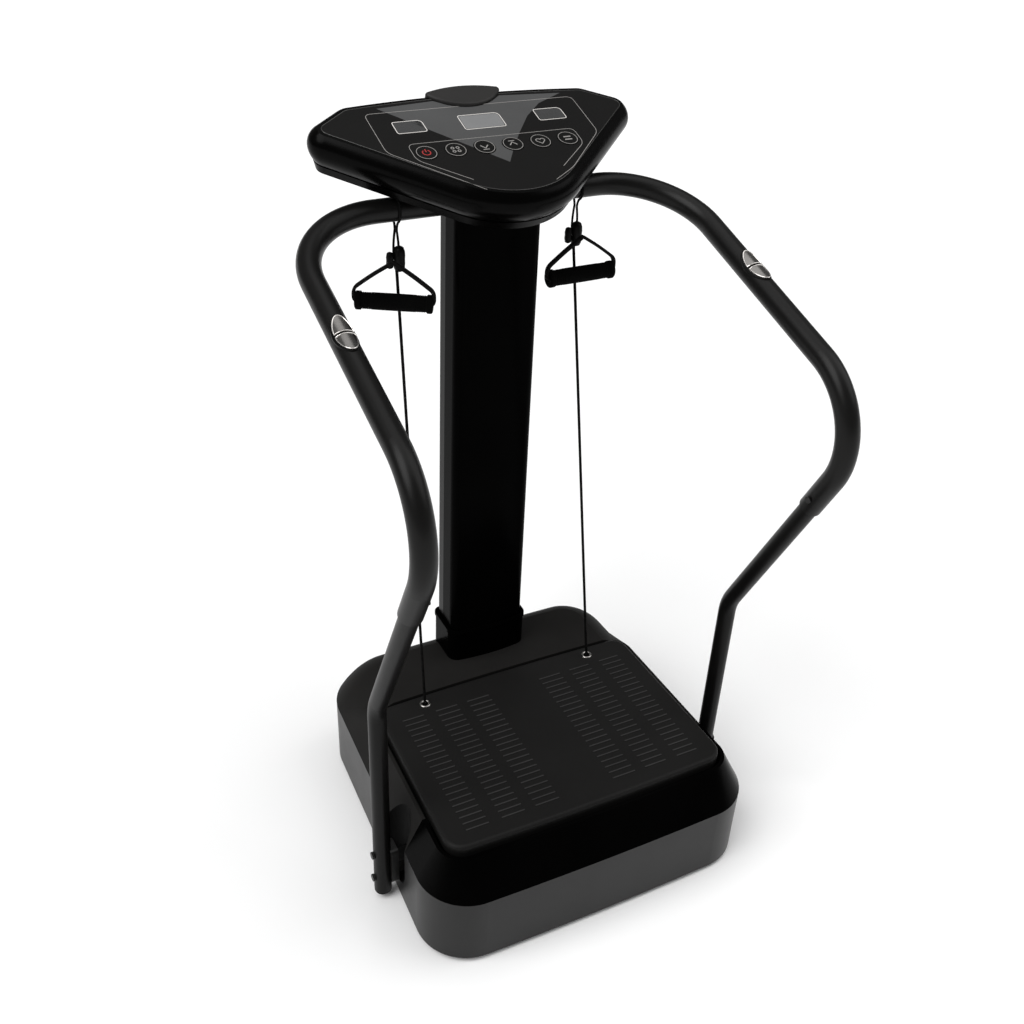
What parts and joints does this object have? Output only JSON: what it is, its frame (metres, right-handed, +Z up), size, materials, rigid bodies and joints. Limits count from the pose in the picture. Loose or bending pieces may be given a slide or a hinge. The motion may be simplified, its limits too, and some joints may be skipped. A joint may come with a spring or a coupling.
{
  "type": "vibration plate",
  "caption": "Whole-body vibration plate: tilting ribbed platform, console column, bent handrails with pulse sensors, and elastic pull cords.",
  "frame": {"origin": "on the floor, in the middle of the machine without its pull cords", "axes": "+Z up, the user faces +Y towards the column, X across the platform"},
  "size_m": [0.694, 0.6653, 1.2318],
  "materials": {
    "satin_skirt": "satin",
    "deck_plastic": "fine grain satin",
    "gloss_black": "gloss",
    "column_gloss": "high gloss",
    "console_shell": "satin",
    "overlay": "printed gloss film",
    "display": "smoked window",
    "button": "gloss with printed ring",
    "rail_paint": "satin black powder coat",
    "black_paint": "semi-gloss black",
    "chassis_paint": "satin",
    "stainless": "brushed",
    "chrome": "polished",
    "zinc": "zinc plated",
    "shaft_steel": "ground",
    "bronze": "sintered",
    "cast_alloy": "cast",
    "motor_paint": "painted",
    "circuit_board": "solder mask",
    "rubber": "matt",
    "belt_rubber": "matt",
    "cord_rubber": "braided elastic",
    "strap_web": "woven nylon",
    "grip_foam": "closed-cell foam",
    "small_plastic": "moulded",
    "tray_steel": "matt"
  },
  "bodies": {
    "root": {"base_cover": "gloss_black", "base_skirt": "satin_skirt", "base_tray": "tray_steel", "rubber_feet": "rubber", "tray_screws": "zinc", "steel_chassis": "chassis_paint", "rail_brackets": "black_paint", "rail_bolts": "zinc", "motor_mount": "chassis_paint", "pivot_pedestals": "cast_alloy", "pivot_shaft": "shaft_steel", "shaft_bearings": "cast_alloy", "drive_belt": "belt_rubber", "motor_body": "motor_paint", "control_board": "circuit_board", "power_inlet": "small_plastic", "column_front_cover": "column_gloss", "column_rear_cover": "console_shell", "column_plinth": "column_gloss", "column_post": "chassis_paint", "console_upper_shell": "console_shell", "console_lower_shell": "console_shell", "console_overlay": "overlay", "display_windows": "display", "console_dome": "console_shell", "console_board": "circuit_board", "rail_upper_left": "rail_paint", "rail_upper_right": "rail_paint", "rail_lower_left": "rail_paint", "rail_lower_right": "rail_paint", "rail_end_caps": "small_plastic", "rail_joint_screws": "zinc", "sensor_pads": "small_plastic", "sensor_plates": "stainless", "hanger_loops": "cord_rubber", "cord_clips": "small_plastic", "pull_cord_left": "cord_rubber", "pull_cord_right": "cord_rubber"},
    "platform": {"platform_plate": "deck_plastic", "platform_frame": "chassis_paint", "pivot_bushes": "bronze", "drive_link": "cast_alloy", "cord_eyelets": "chrome", "platform_bolts": "zinc"},
    "crank": {"eccentric_shaft": "shaft_steel", "eccentric_bearing": "shaft_steel", "drive_pulley": "cast_alloy"},
    "rotor": {"motor_shaft": "shaft_steel", "motor_pulley": "cast_alloy"},
    "rocker": {"rocker_switch": "small_plastic"},
    "handle_left": {"handle_strap_left": "strap_web", "handle_grip_left": "grip_foam"},
    "handle_right": {"handle_strap_right": "strap_web", "handle_grip_right": "grip_foam"},
    "key_1": {"button_1": "button"},
    "key_2": {"button_2": "button"},
    "key_3": {"button_3": "button"},
    "key_4": {"button_4": "button"},
    "key_5": {"button_5": "button"},
    "key_6": {"button_6": "button"}
  },
  "joints": [
    {"name": "platform_tilt", "type": "hinge", "parent": "root", "child": "platform", "pos_m": [0, -0.004, 0.128], "axis": [0, 1, 0], "range_deg": [-1.64, 1.64], "deforming": ["pull_cord_left", "pull_cord_right"]},
    {"name": "crank_spin", "type": "hinge", "parent": "root", "child": "crank", "pos_m": [-0.14, -0.004, 0.128], "axis": [0, 1, 0], "continuous": true},
    {"name": "motor_spin", "type": "hinge", "parent": "root", "child": "rotor", "pos_m": [0.12, 0.088, 0.113], "axis": [0, 1, 0], "continuous": true},
    {"name": "power_rocker", "type": "hinge", "parent": "root", "child": "rocker", "pos_m": [-0.088, 0.291, 0.078], "axis": [1, 0, 0], "range_deg": [-18, 0]},
    {"name": "handle_left_swing", "type": "hinge", "parent": "root", "child": "handle_left", "pos_m": [-0.17, 0.18602, 1.015], "axis": [-0.5, -0.866, 0], "range_deg": [-25, 25]},
    {"name": "handle_right_swing", "type": "hinge", "parent": "root", "child": "handle_right", "pos_m": [0.155, 0.182, 1.015], "axis": [0, -1, 0], "range_deg": [-12, 25]},
    {"name": "key_1_press", "type": "slide", "parent": "root", "child": "key_1", "axis": [0, 0.3173, -0.9483], "range_m": [0, 0.001], "stiffness_N_per_m": 600, "springref_m": -0.0005},
    {"name": "key_2_press", "type": "slide", "parent": "root", "child": "key_2", "axis": [0, 0.3173, -0.9483], "range_m": [0, 0.001], "stiffness_N_per_m": 600, "springref_m": -0.0005},
    {"name": "key_3_press", "type": "slide", "parent": "root", "child": "key_3", "axis": [0, 0.3173, -0.9483], "range_m": [0, 0.001], "stiffness_N_per_m": 600, "springref_m": -0.0005},
    {"name": "key_4_press", "type": "slide", "parent": "root", "child": "key_4", "axis": [0, 0.3173, -0.9483], "range_m": [0, 0.001], "stiffness_N_per_m": 600, "springref_m": -0.0005},
    {"name": "key_5_press", "type": "slide", "parent": "root", "child": "key_5", "axis": [0, 0.3173, -0.9483], "range_m": [0, 0.001], "stiffness_N_per_m": 600, "springref_m": -0.0005},
    {"name": "key_6_press", "type": "slide", "parent": "root", "child": "key_6", "axis": [0, 0.3173, -0.9483], "range_m": [0, 0.001], "stiffness_N_per_m": 600, "springref_m": -0.0005}
  ],
  "couplings": [
    {"joint": "motor_spin", "follows": "crank_spin", "ratio": 1.641}
  ]
}
